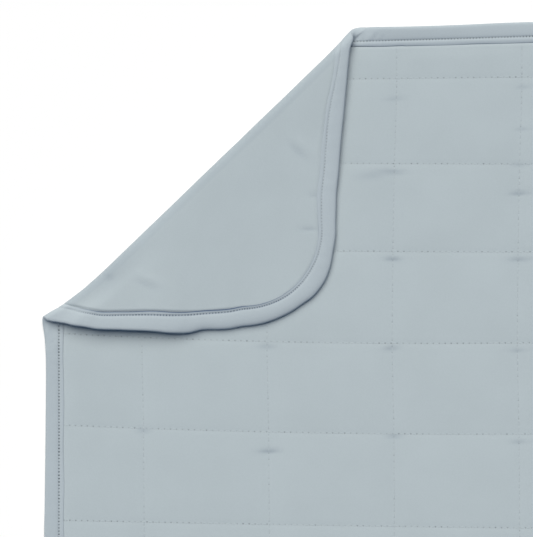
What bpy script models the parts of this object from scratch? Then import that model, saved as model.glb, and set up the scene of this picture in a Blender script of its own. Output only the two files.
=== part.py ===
"""Quilted crib blanket, lying flat with one corner folded over onto its front.

The blanket is drawn flat in millimetres: u runs across it, v runs along it and w is the height
above the floor. Its three pieces are closed flat solids at first. They are then eased in the plane
to the uneven lines of the real cloth, cut into strips along the fold, and laid round the fold.
"""

import math

import bmesh
import bpy
import numpy as np

MM = 0.001

# Driving sizes of the whole blanket
WIDTH = 760.0
LENGTH = 1020.0
CORNER_RADIUS = 80.0
CORNER_STEPS = 8
SIDE_STEP = 42.0

# Quilting: boxes between straight seams on the front
COLUMN_PITCH = 100.0
ROW_PITCH = 72.0
COLUMN_SEAMS = 7
ROW_SEAMS = 14
SEAM_DEPTH = 1.3
SEAM_REACH = 14.0

# Layers, as heights above the floor, inside the binding and out in the field
BINDING_WIDTH = 15.8
BINDING_CLOTH = 0.9
BINDING_FOLD = 1.2
TOTAL_HEIGHT = 4.9
PANEL_INSET = 1.6
GRIPPED_INSET = 16.3
FIELD_INSET = 24.0
BACKING_LOW = {"edge": 1.2, "field": 0.0}
BACKING_HIGH = {"edge": 2.1, "field": 0.9}
FRONT_LOW = {"edge": 2.4, "field": 1.2}
FRONT_HIGH = {"edge": 3.7, "field": 4.9}

# The fold: its line in the plane, the roll of the cloth, and how the flap comes to rest
FOLD_POINT = (-250.82, 379.04)
FOLD_ANGLE = 43.93
ROLL_RADIUS = 4.0
MIDDLE_HEIGHT = 2.45
FLAP_GAP = 0.5
FLAP_SETTLES = 90.0
HALF_FOLD = 213.0
ROLL_STEPS = 8
SETTLE_CUTS = (9.0, 18.0, 27.0, 38.0, 50.0, 63.0, 76.0, 90.0)
BEND_LENGTH = math.pi * ROLL_RADIUS

# Where the bounding box's middle lies in the flat drawing
BOX_MIDDLE = (-1.5, 0.0)

# How the lying cloth drifts from its cut: v, then the shift along v at three columns, then the
# shift along u
DRIFT_COLUMNS = (-364.0, -203.0, 10.0)
DRIFT_ROWS = (
    (-36.0, 0.0, 0.0, 0.0, 0.0),
    (36.0, 0.0, -1.0, -3.0, 0.0),
    (108.0, 1.2, -2.0, -5.0, -1.0),
    (180.0, 5.2, -0.1, -2.0, -1.5),
    (252.0, 6.4, 0.1, -1.0, -2.8),
    (324.0, 4.0, 1.0, -0.4, -2.2),
    (396.0, -1.0, -1.5, -2.2, -1.0),
    (468.0, -9.0, -7.0, -4.6, 0.8),
    (510.0, -15.0, -10.0, -3.0, 0.8),
)
DRIFT_FADE = 250.0
SIDEWAYS_FADE = 80.0

# The roll's shift at the fold's two ends: place along the fold, shift outwards, shift along
ROLL_SHIFT = (
    (-182.0, 8.4, 4.6),
    (-172.0, 7.6, 4.2),
    (-167.0, 6.9, 3.5),
    (-155.0, 4.5, 2.0),
    (-142.5, 2.5, 1.0),
    (-128.0, 0.9, 0.4),
    (-105.0, 0.0, 0.0),
    (135.0, 0.0, 0.0),
    (150.0, 0.5, 0.0),
    (160.0, 1.0, -0.6),
    (170.0, 1.3, -2.0),
    (182.0, 1.2, -2.6),
    (195.0, 1.0, -2.8),
)
SHIFT_BEFORE = 4.0
SHIFT_GROWS = 14.0
SHIFT_FADES = 24.0

# The flap's own uneven edges: y and the shift along x, then x and the shift along y
FLAP_SIDE = (
    (262.0, -14.8),
    (290.0, -14.0),
    (305.0, -13.6),
    (315.0, -13.3),
    (328.0, -13.4),
    (344.0, -14.1),
    (358.0, -14.3),
    (380.0, -12.2),
    (410.0, -10.2),
    (434.0, -8.1),
    (451.0, -5.8),
    (478.0, -3.8),
)
FLAP_HEM = (
    (-360.0, 3.0),
    (-336.0, 2.2),
    (-322.0, 0.8),
    (-303.0, 1.8),
    (-278.0, 3.2),
    (-256.0, 3.4),
    (-232.0, 5.2),
    (-219.0, 6.7),
    (-205.0, 9.2),
    (-190.0, 8.7),
    (-166.0, 7.4),
)

# The flap's lower edge stands up a little: x and the height, and the y of its foot and its top
HEM_LIFT = (
    (-384.0, 0.5),
    (-368.0, 2.2),
    (-340.0, 3.4),
    (-300.0, 3.6),
    (-278.0, 2.8),
    (-262.0, 0.8),
    (-245.0, 0.0),
)
LIFT_HEM = 262.0
LIFT_TOP = 335.0
LIFT_CUTS_U = (-362.0, -344.0, -326.0, -307.0)
LIFT_CUTS_V = (270.0, 284.0, 298.0, 312.0, 332.0, 352.0, 363.0, 374.0, 390.0, 407.0)

FRONT_COLOUR = (0.440, 0.503, 0.533)
BACK_COLOUR = (0.436, 0.497, 0.527)
BINDING_COLOUR = (0.413, 0.468, 0.521)


def smooth(share):
    """A soft step from 0 to 1."""
    share = np.clip(share, 0.0, 1.0)
    return share * share * (3.0 - 2.0 * share)


def read_table(table, place, column=1):
    """A value on the smooth curve through a table's rows, which never swings past them."""
    rows = np.array(table)
    known, value = rows[:, 0], rows[:, column]
    step = np.diff(known)
    straight = np.diff(value) / step
    product = straight[:-1] * straight[1:]
    total = straight[:-1] + straight[1:]
    same_way = product > 0.0
    slope = np.zeros(len(known))
    slope[1:-1][same_way] = 2.0 * product[same_way] / total[same_way]
    left = np.clip(np.searchsorted(known, place) - 1, 0, len(known) - 2)
    share = np.clip((place - known[left]) / step[left], 0.0, 1.0)
    rest = 1.0 - share
    levels = value[left] * (1.0 - smooth(share)) + value[left + 1] * smooth(share)
    bends = slope[left] * share * rest * rest - slope[left + 1] * share * share * rest
    return levels + bends * step[left]


def outline(inset):
    """Points round the cut edge, moved inwards by the inset, counter-clockwise from the lower right."""
    half_width = 0.5 * WIDTH - CORNER_RADIUS
    half_length = 0.5 * LENGTH - CORNER_RADIUS
    radius = CORNER_RADIUS - inset
    centres = (
        (half_width, -half_length),
        (half_width, half_length),
        (-half_width, half_length),
        (-half_width, -half_length),
    )
    points = []
    for corner, (centre_u, centre_v) in enumerate(centres):
        start = -0.5 * math.pi + 0.5 * math.pi * corner
        for step in range(CORNER_STEPS + 1):
            angle = start + 0.5 * math.pi * step / CORNER_STEPS
            points.append((centre_u + radius * math.cos(angle), centre_v + radius * math.sin(angle)))
        side = 2.0 * (half_length if corner % 2 == 0 else half_width)
        parts = round(side / SIDE_STEP)
        heading = start + math.pi
        from_u, from_v = points[-1]
        for step in range(1, parts):
            run = side * step / parts
            points.append((from_u + run * math.cos(heading), from_v + run * math.sin(heading)))
    return points


def add_ring(mesh, inset, height):
    """One ring of vertices along the cut edge at this inset and height."""
    return [mesh.verts.new((u, v, height)) for u, v in outline(inset)]


def join_rings(mesh, first, second):
    """A strip of four-sided faces between two rings."""
    count = len(first)
    for i in range(count):
        j = (i + 1) % count
        mesh.faces.new((first[i], first[j], second[j], second[i]))


def panel_body(low, high):
    """A closed flat panel: thin where the binding grips it, full height in the field."""
    mesh = bmesh.new()
    insets = (PANEL_INSET, GRIPPED_INSET, FIELD_INSET)
    shares = ("edge", "edge", "field")
    top = [add_ring(mesh, inset, high[share]) for inset, share in zip(insets, shares)]
    bottom = [add_ring(mesh, inset, low[share]) for inset, share in zip(insets, shares)]
    join_rings(mesh, top[0], top[1])
    join_rings(mesh, top[1], top[2])
    join_rings(mesh, bottom[1], bottom[0])
    join_rings(mesh, bottom[2], bottom[1])
    join_rings(mesh, bottom[0], top[0])
    mesh.faces.new(top[2])
    mesh.faces.new(tuple(reversed(bottom[2])))
    return mesh


def cut_faces(mesh, faces, point, normal):
    """Cut these faces by an upright plane."""
    edges = {edge for face in faces for edge in face.edges}
    corners = {vert for face in faces for vert in face.verts}
    bmesh.ops.bisect_plane(
        mesh, geom=list(faces) + list(edges) + list(corners), dist=1e-5, plane_co=point, plane_no=normal
    )


def seam_places(count, pitch):
    """Where a family of parallel seams crosses the blanket."""
    return [pitch * (index - 0.5 * (count - 1)) for index in range(count)]


def raise_quilting(mesh):
    """Cut the front's field along its seams and press each seam down between the boxes."""
    columns = seam_places(COLUMN_SEAMS, COLUMN_PITCH)
    rows = seam_places(ROW_SEAMS, ROW_PITCH)
    for places, normal in ((columns, (1.0, 0.0, 0.0)), (rows, (0.0, 1.0, 0.0))):
        for place in places:
            for offset in (-SEAM_REACH, 0.0, SEAM_REACH):
                field = [face for face in mesh.faces if in_field(face)]
                point = tuple((place + offset) * part for part in normal)
                cut_faces(mesh, field, point, normal)
    field = [face for face in mesh.faces if in_field(face)]
    for vert in mesh.verts:
        if vert.co.z > FRONT_HIGH["field"] - 0.01:
            nearest_column = min(abs(vert.co.x - place) for place in columns)
            nearest_row = min(abs(vert.co.y - place) for place in rows)
            share = max(0.0, 1.0 - min(nearest_column, nearest_row) / SEAM_REACH)
            vert.co.z -= SEAM_DEPTH * share
    bmesh.ops.triangulate(mesh, faces=field, quad_method="LONG_EDGE", ngon_method="BEAUTY")


def in_field(face):
    """True for a face of the front's raised field."""
    return all(vert.co.z > FRONT_HIGH["field"] - 0.01 for vert in face.verts)


def binding_body():
    """The binding: one strip folded over the raw edge, run round the whole blanket."""
    mesh = bmesh.new()
    top = TOTAL_HEIGHT
    cloth = BINDING_CLOTH
    section = (
        (0.5, 0.0),
        (0.0, 0.7),
        (0.0, top - 0.7),
        (0.5, top),
        (BINDING_WIDTH, top),
        (BINDING_WIDTH, top - cloth),
        (BINDING_FOLD, top - cloth),
        (BINDING_FOLD, cloth),
        (BINDING_WIDTH, cloth),
        (BINDING_WIDTH, 0.0),
    )
    rings = [add_ring(mesh, inset, height) for inset, height in section]
    for ring, following in zip(rings, rings[1:] + rings[:1]):
        join_rings(mesh, ring, following)
    return mesh


def fold_directions():
    """The unit vectors across the fold, towards the turned corner, and along it."""
    angle = math.radians(FOLD_ANGLE)
    along = np.array((math.cos(angle), math.sin(angle)))
    across = np.array((-along[1], along[0]))
    return across, along


def drift(points):
    """Ease points of the flat cut to where the lying cloth has them."""
    u, v = points[:, 0], points[:, 1]
    left, middle, right = DRIFT_COLUMNS
    near = np.clip(u, -0.5 * WIDTH, right)
    from_left = (near - middle) * (near - right) / ((left - middle) * (left - right))
    from_middle = (near - left) * (near - right) / ((middle - left) * (middle - right))
    from_right = (near - left) * (near - middle) / ((right - left) * (right - middle))
    along_v = from_left * read_table(DRIFT_ROWS, v, 1)
    along_v += from_middle * read_table(DRIFT_ROWS, v, 2)
    along_v += from_right * read_table(DRIFT_ROWS, v, 3)
    along_v *= 1.0 - smooth((u - right) / DRIFT_FADE)
    along_u = read_table(DRIFT_ROWS, v, 4)
    along_u *= np.clip((0.5 * WIDTH - np.abs(u)) / SIDEWAYS_FADE, 0.0, 1.0)
    return points + np.stack((along_u, along_v), axis=1)


def across_and_along(points):
    """Distance past the fold's axis and place along it, for points in the plane."""
    across, along = fold_directions()
    offset = points - np.array(FOLD_POINT)
    return offset @ across, offset @ along


def ease_flat(points):
    """The drift, in which the cloth past the fold moves as one with the fold line beside it."""
    across, _ = fold_directions()
    past, _ = across_and_along(points)
    behind = np.maximum(past, 0.0)[:, None] * across
    return drift(points - behind) + behind


def flap_shift(places, past, along):
    """The flap's own shift in the plane, full at its edges and nothing at the roll."""
    reach = np.clip(0.5 * (HALF_FOLD - np.abs(along)), 14.0, 70.0)
    share = smooth((past - 0.5 * BEND_LENGTH) / reach)
    along_x = share * read_table(FLAP_SIDE, places[:, 1])
    along_y = share * read_table(FLAP_HEM, places[:, 0])
    return np.stack((along_x, along_y), axis=1)


def hem_lift(places, past):
    """How far the flap's lower edge stands up, less and less up the flap."""
    share = smooth((LIFT_TOP - places[:, 1]) / (LIFT_TOP - LIFT_HEM))
    share *= smooth((past - BEND_LENGTH) / 20.0)
    return share * read_table(HEM_LIFT, places[:, 0])


def lay_round_fold(points, heights):
    """Lay eased flat points round the roll, so that the corner rests on the front."""
    across, along = fold_directions()
    past, place = across_and_along(points)
    turn = np.clip(past / ROLL_RADIUS, 0.0, math.pi)
    radius = ROLL_RADIUS - (heights - MIDDLE_HEIGHT)
    centre = MIDDLE_HEIGHT + ROLL_RADIUS
    beyond = np.maximum(past - BEND_LENGTH, 0.0)
    plan = np.minimum(past, 0.0) + radius * np.sin(turn) - beyond
    share = smooth((past + SHIFT_BEFORE) / SHIFT_GROWS)
    share *= smooth(1.0 - (past - BEND_LENGTH) / SHIFT_FADES)
    outward = plan + share * read_table(ROLL_SHIFT, place)
    inward = place + share * read_table(ROLL_SHIFT, place, 2)
    resting = 2.0 * TOTAL_HEIGHT + FLAP_GAP
    drop = centre + ROLL_RADIUS + MIDDLE_HEIGHT - resting
    rise = centre - radius * np.cos(turn) - drop * smooth(beyond / FLAP_SETTLES)
    places = np.array(FOLD_POINT) + outward[:, None] * across + inward[:, None] * along
    places += flap_shift(places, past, place)
    rise += hem_lift(places, past)
    return np.column_stack((places - np.array(BOX_MIDDLE), rise))


def fold_cuts():
    """Distances past the axis, and places along it, at which all pieces are cut alike."""
    roll = [BEND_LENGTH * step / ROLL_STEPS for step in range(ROLL_STEPS + 1)]
    before = [-SHIFT_BEFORE, -0.5 * SHIFT_BEFORE]
    after = [BEND_LENGTH + step for step in SETTLE_CUTS]
    ends = [row[0] for row in ROLL_SHIFT]
    middle = [-60.0, -15.0, 30.0, 80.0]
    return before + roll + after, sorted(ends + middle)


def split_at_fold(mesh):
    """Cut the mesh into strips along the fold and across it, so that it can bend."""
    across, along = fold_directions()
    point = np.array(FOLD_POINT)
    strips, places = fold_cuts()
    for distance in strips:
        spot = point + distance * across
        cut_faces(mesh, list(mesh.faces), (*spot, 0.0), (*across, 0.0))
    for place in places:
        spot = point + place * along
        near = [face for face in mesh.faces if beside_fold(face, strips[0], strips[-1])]
        cut_faces(mesh, near, (*spot, 0.0), (*along, 0.0))


def split_hem(mesh):
    """Cut the flap near its lower edge both ways, so that all pieces stand up there alike."""
    for place in LIFT_CUTS_U:
        cut_faces(mesh, hem_faces(mesh), (place, 0.0, 0.0), (1.0, 0.0, 0.0))
    for place in LIFT_CUTS_V:
        cut_faces(mesh, hem_faces(mesh), (0.0, place, 0.0), (0.0, 1.0, 0.0))


def hem_faces(mesh):
    """The faces of the flap near its lower edge."""
    farthest = LIFT_CUTS_U[-1] + 25.0
    return [
        face
        for face in mesh.faces
        if beside_fold(face, BEND_LENGTH, WIDTH) and face.calc_center_median().x < farthest
    ]


def beside_fold(face, lowest, highest):
    """True for a face within the strips along the fold."""
    centre = face.calc_center_median()
    past, _ = across_and_along(np.array([(centre.x, centre.y)]))
    return lowest < past[0] < highest


def shape_piece(mesh):
    """Ease the flat solid, split it at the fold and lay it round the fold."""
    mesh.verts.ensure_lookup_table()
    flat = np.array([vert.co for vert in mesh.verts])
    for vert, (x, y) in zip(mesh.verts, ease_flat(flat[:, :2])):
        vert.co.x = x
        vert.co.y = y
    bmesh.ops.triangulate(mesh, faces=list(mesh.faces), quad_method="BEAUTY", ngon_method="BEAUTY")
    split_at_fold(mesh)
    split_hem(mesh)
    bmesh.ops.triangulate(mesh, faces=list(mesh.faces), quad_method="BEAUTY", ngon_method="BEAUTY")
    flat = np.array([vert.co for vert in mesh.verts])
    for vert, place in zip(mesh.verts, lay_round_fold(flat[:, :2], flat[:, 2])):
        vert.co = place * MM


def cloth_material(name, colour):
    """A plain matt cloth."""
    material = bpy.data.materials.new(name)
    material.use_nodes = True
    shader = material.node_tree.nodes["Principled BSDF"]
    shader.inputs["Base Color"].default_value = (*colour, 1.0)
    shader.inputs["Roughness"].default_value = 0.9
    material.diffuse_color = (*colour, 1.0)
    return material


def add_piece(name, mesh, colour):
    """Turn a finished mesh into an object with its own material."""
    bmesh.ops.recalc_face_normals(mesh, faces=list(mesh.faces))
    data = bpy.data.meshes.new(name)
    mesh.to_mesh(data)
    mesh.free()
    data.materials.append(cloth_material(name + "_cloth", colour))
    piece = bpy.data.objects.new(name, data)
    bpy.context.scene.collection.objects.link(piece)
    return piece


def build_blanket():
    """Build the three sewn pieces of the blanket."""
    front = panel_body(FRONT_LOW, FRONT_HIGH)
    raise_quilting(front)
    backing = panel_body(BACKING_LOW, BACKING_HIGH)
    binding = binding_body()
    for mesh in (front, backing, binding):
        shape_piece(mesh)
    add_piece("quilted_front", front, FRONT_COLOUR)
    add_piece("plain_backing", backing, BACK_COLOUR)
    add_piece("edge_binding", binding, BINDING_COLOUR)


def clear_scene():
    """Remove whatever the scene holds."""
    for item in list(bpy.data.objects):
        bpy.data.objects.remove(item, do_unlink=True)


clear_scene()
build_blanket()
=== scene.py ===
"""A quilted crib blanket, lying face up with one corner folded over to show its plain back.

All the cloth is drawn flat in millimetres: u runs across the blanket, v along it, and a height
lies above the floor. The same easing and the same fold as the solids then lay it in its place.
"""

import logging
import math
from dataclasses import dataclass
from enum import Enum

import bpy
import numpy as np
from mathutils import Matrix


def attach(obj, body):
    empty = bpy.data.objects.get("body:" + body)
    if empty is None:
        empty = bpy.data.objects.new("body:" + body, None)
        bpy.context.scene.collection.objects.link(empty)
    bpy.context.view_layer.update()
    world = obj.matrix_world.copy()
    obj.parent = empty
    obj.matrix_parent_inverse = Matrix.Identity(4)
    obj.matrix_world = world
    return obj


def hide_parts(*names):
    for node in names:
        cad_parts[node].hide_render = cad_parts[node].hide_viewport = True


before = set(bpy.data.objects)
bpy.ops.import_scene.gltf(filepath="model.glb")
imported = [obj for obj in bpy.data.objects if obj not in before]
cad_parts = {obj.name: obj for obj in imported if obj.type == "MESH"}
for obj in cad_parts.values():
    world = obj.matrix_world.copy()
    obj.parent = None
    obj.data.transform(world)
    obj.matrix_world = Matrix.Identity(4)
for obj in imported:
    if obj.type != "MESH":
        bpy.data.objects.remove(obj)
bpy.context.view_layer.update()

LOG = logging.getLogger("blanket")
MM = 0.001
BODY = "root"
Array = np.ndarray
Socket = bpy.types.NodeSocket
Table = tuple[tuple[float, ...], ...]
Colour = tuple[float, float, float]
# The share of a cloth's red, green and blue that painted shade leaves in its tightest gaps: a
# darker, bluer copy of the cloth painted where shade falls.
PAINTED_SHADE_TONE: Colour = (0.04, 0.10, 0.24)


class Side(Enum):
    """The two faces of the bound edge."""

    FRONT = 1
    BACK = -1


class Seam(Enum):
    """The two families of quilting seams."""

    ALONG = 0
    ACROSS = 1


def smooth(share: Array) -> Array:
    """Return a soft step: 3s squared minus 2s cubed, held between 0 and 1."""
    share = np.clip(share, 0.0, 1.0)
    return share * share * (3.0 - 2.0 * share)


def hump(distance: Array, reach: float) -> Array:
    """Return a bell: e to the minus square of distance over reach."""
    return np.exp(-np.square(distance / reach))


def read_table(table: Table, place: Array, column: int = 1) -> Array:
    """Read a smooth curve through a table's rows, which never swings past them.

    Between two rows it is the cubic that has both rows' values and slopes. A row's slope is the
    harmonic mean of the two straight slopes beside it, or none at a peak, a dip or an end.

    Args:
        table: Rows whose first column rises.
        place: Where to read, in the first column's unit.
        column: The column to read.

    Returns:
        One value for each place.
    """
    rows = np.array(table)
    known, value = rows[:, 0], rows[:, column]
    step = np.diff(known)
    straight = np.diff(value) / step
    product = straight[:-1] * straight[1:]
    total = straight[:-1] + straight[1:]
    slope = np.zeros(len(known))
    same_way = product > 0.0
    slope[1:-1][same_way] = 2.0 * product[same_way] / total[same_way]
    left = np.clip(np.searchsorted(known, place) - 1, 0, len(known) - 2)
    share = np.clip((place - known[left]) / step[left], 0.0, 1.0)
    rest = 1.0 - share
    levels = value[left] * (1.0 - smooth(share)) + value[left + 1] * smooth(share)
    bends = slope[left] * share * rest * rest - slope[left + 1] * share * share * rest
    return levels + bends * step[left]


@dataclass(frozen=True)
class Cut:
    """The flat cut of the blanket, a rectangle with round corners, in millimetres.

    Attributes:
        width: Size across.
        length: Size along.
        corner: Radius of the corners.
    """

    width: float = 760.0
    length: float = 1020.0
    corner: float = 80.0

    @property
    def straight(self) -> Array:
        """Return half the straight part of each side, across and along."""
        return 0.5 * np.array((self.width, self.length)) - self.corner

    @property
    def girth(self) -> float:
        """Return the length of the cut edge."""
        return 4.0 * float(self.straight.sum()) + 2.0 * math.pi * self.corner

    @property
    def area(self) -> float:
        """Return the area of the cut in square metres."""
        missing = (4.0 - math.pi) * self.corner**2
        return (self.width * self.length - missing) * MM * MM

    def inset(self, flat: Array) -> Array:
        """Return how far inside the cut edge each flat point lies.

        It is the corner's radius, less the distance outside the box whose corners are the round
        corners' centres, or plus the depth inside that box.

        Args:
            flat: Points of the flat cut.

        Returns:
            One distance for each point.
        """
        beyond = np.abs(flat) - self.straight
        outside = np.hypot(*np.maximum(beyond, 0.0).T)
        inside = np.minimum(beyond.max(axis=-1), 0.0)
        return self.corner - outside - inside

    def rim(self, run: Array, inset: Array) -> Array:
        """Return flat points at a run round the cut edge and a distance inwards from it.

        The run starts in the middle of the lower side and goes counter-clockwise. Each point is the
        corner's centre, or its foot on the straight line between two centres, plus the outward
        direction times the radius less the inset.

        Args:
            run: Distance round the edge.
            inset: Distance inwards, of the same shape.

        Returns:
            Points, with two last entries u and v.
        """
        across, along = self.straight
        arc = 0.5 * math.pi * self.corner
        pieces = np.array((across, arc, 2 * along, arc, 2 * across, arc, 2 * along, arc, across))
        starts = np.concatenate(((0.0,), np.cumsum(pieces)))
        turns = np.array((0.0, 1.0, 0.0, 1.0, 0.0, 1.0, 0.0, 1.0, 0.0)) * 0.5 * math.pi
        turned = np.interp(run, starts, np.concatenate(((0.0,), np.cumsum(turns)))) - 0.5 * math.pi
        foot_u = np.interp(run, starts, np.array((0, 1, 1, 1, 1, -1, -1, -1, -1, 0)) * across)
        foot_v = np.interp(run, starts, np.array((-1, -1, -1, 1, 1, 1, 1, -1, -1, -1)) * along)
        reach = self.corner - inset
        return np.stack((foot_u + reach * np.cos(turned), foot_v + reach * np.sin(turned)), axis=-1)


@dataclass(frozen=True)
class Lay:
    """How the cloth lies: its easing in the plane, its fold and the rest of its flap.

    Attributes:
        cut: The flat cut.
        point: A point of the fold's axis in the plane.
        angle: Direction of the fold in degrees.
        roll: Radius of the roll at the middle of the cloth.
        middle: Height of the middle of the cloth.
        thick: Height of the whole blanket at its bound edge.
        gap: Air between the flap and the front under it.
        settles: Distance past the roll over which the flap comes down.
        half_fold: Half the length of the fold.
        bulge_reach: Distances over which the shift of the roll's ends fades in and out.
        box_middle: Where the bounding box's middle lies in the flat drawing.
        columns: Places across at which the drift is given.
        drift_rows: Place along, the shift along at the three columns, the shift across.
        drift_fade: Distance over which the shift along fades out towards the far side.
        sideways_fade: Distance from a side over which the shift across fades in.
        bulge_rows: Place along the fold, shift of the roll outwards and along the fold.
        side_rows: Place along, shift across of the flap's upright edge.
        hem_rows: Place across, shift along of the flap's lower edge.
        edge_reach: Least and greatest distance over which both those shifts grow from the roll.
        lift_rows: Place across, height by which the flap's lower edge stands off the front.
        lift_hem: Place along of the flap's lower edge, where the lift is full.
        lift_top: Place along at which the lift has gone.
        lift_fade: Distance past the roll over which the lift grows.
        press: Share by which the roll is pressed flat at both ends of the fold.
        press_from: Place along the fold from which it is pressed.
        press_fade: Distances over which the press grows along the fold and before its axis, and
            fades past the roll.
    """

    cut: Cut = Cut()
    point: tuple[float, float] = (-250.82, 379.04)
    angle: float = 43.93
    roll: float = 4.0
    middle: float = 2.45
    thick: float = 4.9
    gap: float = 0.5
    settles: float = 140.0
    half_fold: float = 213.0
    bulge_reach: tuple[float, float, float] = (4.0, 14.0, 24.0)
    box_middle: tuple[float, float] = (-1.5, 0.0)
    columns: tuple[float, float, float] = (-364.0, -203.0, 10.0)
    drift_rows: Table = (
        (-36.0, 0.0, 0.0, 0.0, 0.0),
        (36.0, 0.0, -1.0, -3.0, 0.0),
        (108.0, 1.2, -2.0, -5.0, -1.0),
        (180.0, 5.2, -0.1, -2.0, -1.5),
        (252.0, 6.4, 0.1, -1.0, -2.8),
        (324.0, 4.0, 1.0, -0.4, -2.2),
        (396.0, -1.0, -1.5, -2.2, -1.0),
        (468.0, -9.0, -7.0, -4.6, 0.8),
        (510.0, -15.0, -10.0, -3.0, 0.8),
    )
    drift_fade: float = 250.0
    sideways_fade: float = 80.0
    bulge_rows: Table = (
        (-182.0, 8.4, 4.6), (-172.0, 7.6, 4.2), (-167.0, 6.9, 3.5), (-155.0, 4.5, 2.0),
        (-142.5, 2.5, 1.0), (-128.0, 0.9, 0.4), (-105.0, 0.0, 0.0), (135.0, 0.0, 0.0),
        (150.0, 0.5, 0.0), (160.0, 1.0, -0.6), (170.0, 1.3, -2.0), (182.0, 1.2, -2.6),
        (195.0, 1.0, -2.8),
    )
    side_rows: Table = (
        (262.0, -14.8), (290.0, -14.0), (305.0, -13.6), (315.0, -13.3), (328.0, -13.4),
        (344.0, -14.1), (358.0, -14.3), (380.0, -12.2), (410.0, -10.2), (434.0, -8.1),
        (451.0, -5.8), (478.0, -3.8),
    )
    hem_rows: Table = (
        (-360.0, 3.0), (-336.0, 2.2), (-322.0, 0.8), (-303.0, 1.8), (-278.0, 3.2),
        (-256.0, 3.4), (-232.0, 5.2), (-219.0, 6.7), (-205.0, 9.2), (-190.0, 8.7),
        (-166.0, 7.4),
    )
    edge_reach: tuple[float, float] = (14.0, 70.0)
    lift_rows: Table = (
        (-384.0, 0.0), (-376.0, 0.0), (-364.0, 1.8), (-340.0, 3.4), (-300.0, 3.6),
        (-278.0, 2.8), (-262.0, 0.8), (-245.0, 0.0),
    )
    lift_hem: float = 262.0
    lift_top: float = 335.0
    lift_fade: float = 20.0
    press: float = 0.2
    press_from: float = 150.0
    press_fade: tuple[float, float, float] = (25.0, 8.0, 40.0)

    @property
    def bend(self) -> float:
        """Return the length of cloth in the roll, half a circle."""
        return math.pi * self.roll

    @property
    def across(self) -> Array:
        """Return the unit direction across the fold, towards the turned corner."""
        angle = math.radians(self.angle)
        return np.array((-math.sin(angle), math.cos(angle)))

    @property
    def along(self) -> Array:
        """Return the unit direction along the fold."""
        angle = math.radians(self.angle)
        return np.array((math.cos(angle), math.sin(angle)))

    def past_fold(self, eased: Array) -> tuple[Array, Array]:
        """Return each point's distance past the fold's axis, and its place along it."""
        offset = eased - np.array(self.point)
        return offset @ self.across, offset @ self.along

    def drift(self, flat: Array) -> Array:
        """Shift flat points in the plane to the uneven lines of the lying cloth.

        The shift along is the parabola through its values at three columns, each read from the
        table's rows, and it fades out towards the far side. The shift across fades out at both
        sides.

        Args:
            flat: Points of the flat cut.

        Returns:
            The shifted points.
        """
        u, v = flat[:, 0], flat[:, 1]
        left, middle, right = self.columns
        near = np.clip(u, -0.5 * self.cut.width, right)
        parts = (
            (near - middle) * (near - right) / ((left - middle) * (left - right)),
            (near - left) * (near - right) / ((middle - left) * (middle - right)),
            (near - left) * (near - middle) / ((right - left) * (right - middle)),
        )
        shift_v = sum(part * read_table(self.drift_rows, v, 1 + k) for k, part in enumerate(parts))
        shift_v *= 1.0 - smooth((u - right) / self.drift_fade)
        shift_u = read_table(self.drift_rows, v, 4)
        shift_u *= np.clip((0.5 * self.cut.width - np.abs(u)) / self.sideways_fade, 0.0, 1.0)
        return flat + np.stack((shift_u, shift_v), axis=1)

    def ease(self, flat: Array) -> Array:
        """Return drifted points, the cloth past the fold moving with the fold line beside it.

        Args:
            flat: Points of the flat cut.

        Returns:
            Each point's foot on the fold line, or the point itself before it, drifted, with the
            distance past the line added again.
        """
        past, _ = self.past_fold(flat)
        behind = np.maximum(past, 0.0)[:, None] * self.across
        return self.drift(flat - behind) + behind

    def flap_share(self, flat: Array) -> Array:
        """Return 0 on the lying cloth and 1 on the flap, softly over the roll."""
        past, _ = self.past_fold(self.ease(flat))
        return smooth(past / self.bend)

    def flap_shift(self, places: Array, past: Array, along: Array) -> Array:
        """Return the flap's own shift in the plane, full at its edges and none at the roll.

        It grows in a soft step, over half the distance to the fold's end within its limits.

        Args:
            places: Points of the folded cloth in the plane.
            past: Their distance past the fold's axis before folding.
            along: Their place along the fold.

        Returns:
            Shifts across and along.
        """
        reach = np.clip(0.5 * (self.half_fold - np.abs(along)), *self.edge_reach)
        share = smooth((past - 0.5 * self.bend) / reach)
        shift_x = share * read_table(self.side_rows, places[:, 1])
        shift_y = share * read_table(self.hem_rows, places[:, 0])
        return np.stack((shift_x, shift_y), axis=1)

    def flap_lift(self, places: Array, past: Array) -> Array:
        """Return how far the flap's lower edge stands up, less and less up the flap.

        Args:
            places: Points of the folded cloth in the plane.
            past: Their distance past the fold's axis before folding.

        Returns:
            Heights in millimetres.
        """
        share = smooth((self.lift_top - places[:, 1]) / (self.lift_top - self.lift_hem))
        share *= smooth((past - self.bend) / self.lift_fade)
        return share * read_table(self.lift_rows, places[:, 0])

    def pressed(self, past: Array, along: Array) -> Array:
        """Return the share of its height that the roll keeps, less at both ends of the fold.

        The press is the product of three soft steps: along the fold, before the roll and past it.

        Args:
            past: Distance past the fold's axis.
            along: Place along the fold.

        Returns:
            One share for each point.
        """
        grows, before, after = self.press_fade
        share = smooth((np.abs(along) - self.press_from) / grows) * smooth(1.0 + past / before)
        return 1.0 - self.press * share * smooth(1.0 - (past - self.bend) / after)

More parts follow.
